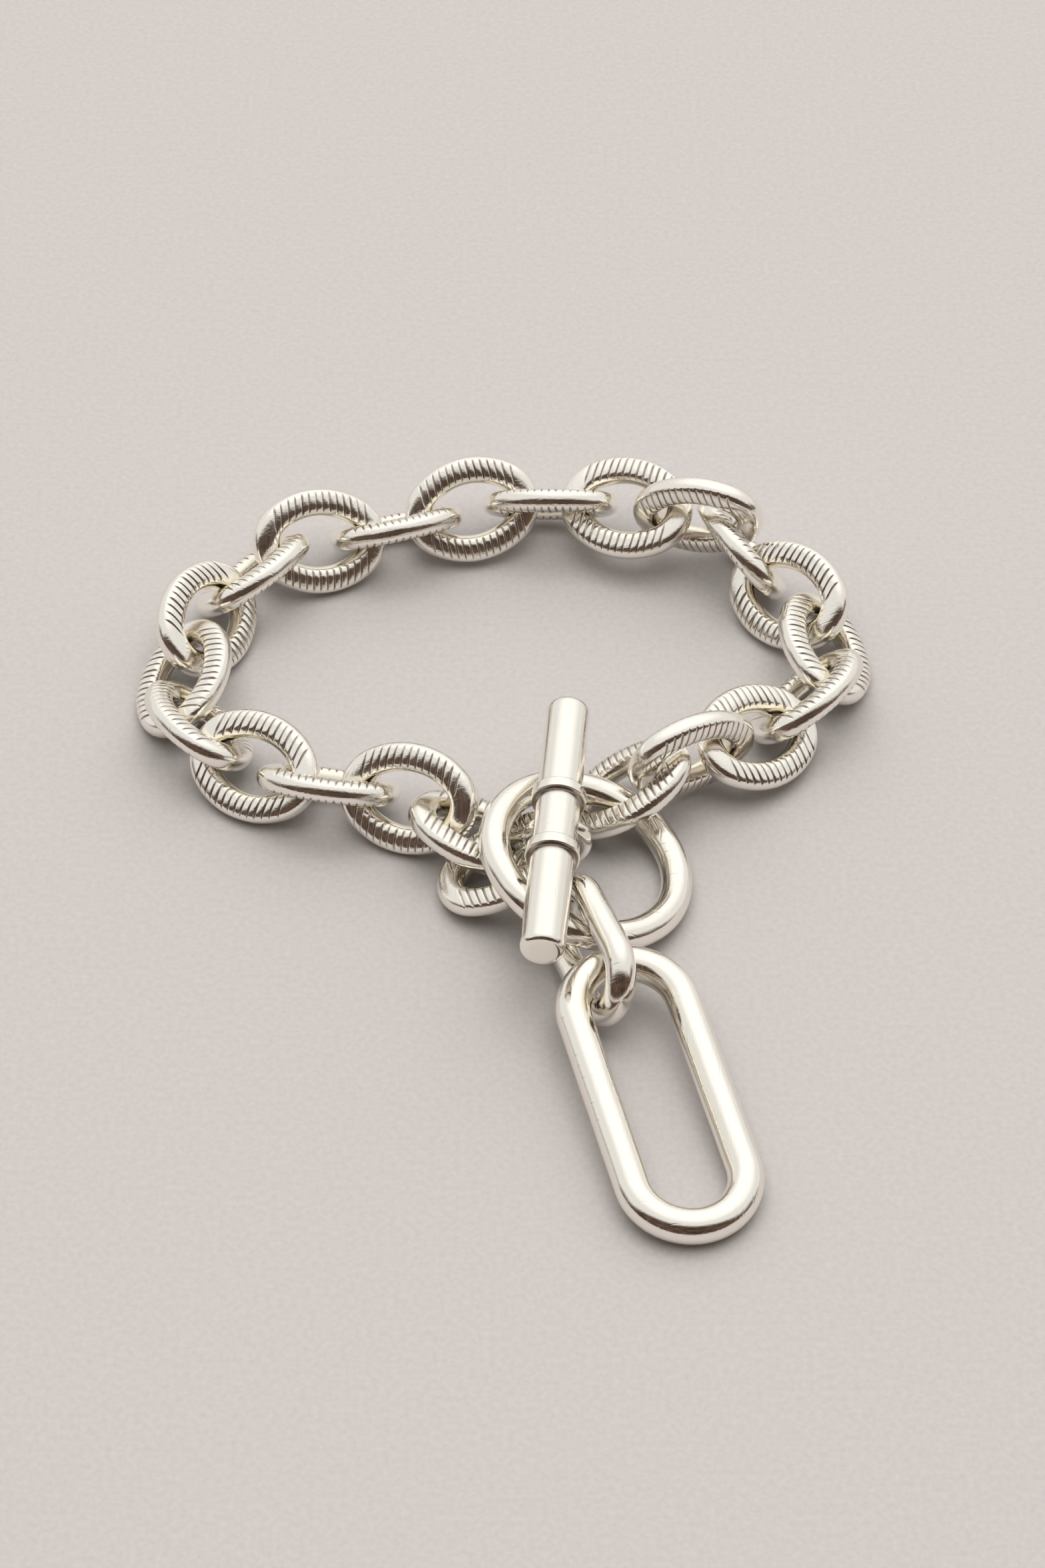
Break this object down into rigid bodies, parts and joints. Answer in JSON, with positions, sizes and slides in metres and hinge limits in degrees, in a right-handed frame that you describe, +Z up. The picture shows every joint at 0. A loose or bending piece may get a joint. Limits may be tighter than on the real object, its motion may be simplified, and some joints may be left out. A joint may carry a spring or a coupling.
{
  "type": "chain bracelet",
  "caption": "Heavy chain bracelet of ribbed oval links, closed by a bar-and-ring clasp with a smooth oblong link hanging from the ring.",
  "frame": {"origin": "middle of the bracelet's lay at the height of the surface that it lies on", "axes": "+X to the right as the viewer faces the clasp, +Y away from the clasp across the loop, +Z up"},
  "size_m": [0.0734, 0.0948, 0.0129],
  "materials": {
    "chain": "polished silver plate with darker grooves",
    "clasp": "polished silver plate with fine scratches"
  },
  "bodies": {
    "root": {"toggle_bar": "clasp", "toggle_ring": "clasp", "jump_link": "clasp", "pendant_link": "clasp", "link_01": "chain", "link_02": "chain", "link_03": "chain", "link_04": "chain", "link_05": "chain", "link_06": "chain", "link_07": "chain", "link_08": "chain", "link_09": "chain", "link_10": "chain", "link_11": "chain", "link_12": "chain", "link_13": "chain", "link_14": "chain", "link_15": "chain", "link_16": "chain", "link_17": "chain", "link_18": "chain", "link_19": "chain", "link_20": "chain", "link_21": "chain", "link_22": "chain"}
  },
  "joints": []
}
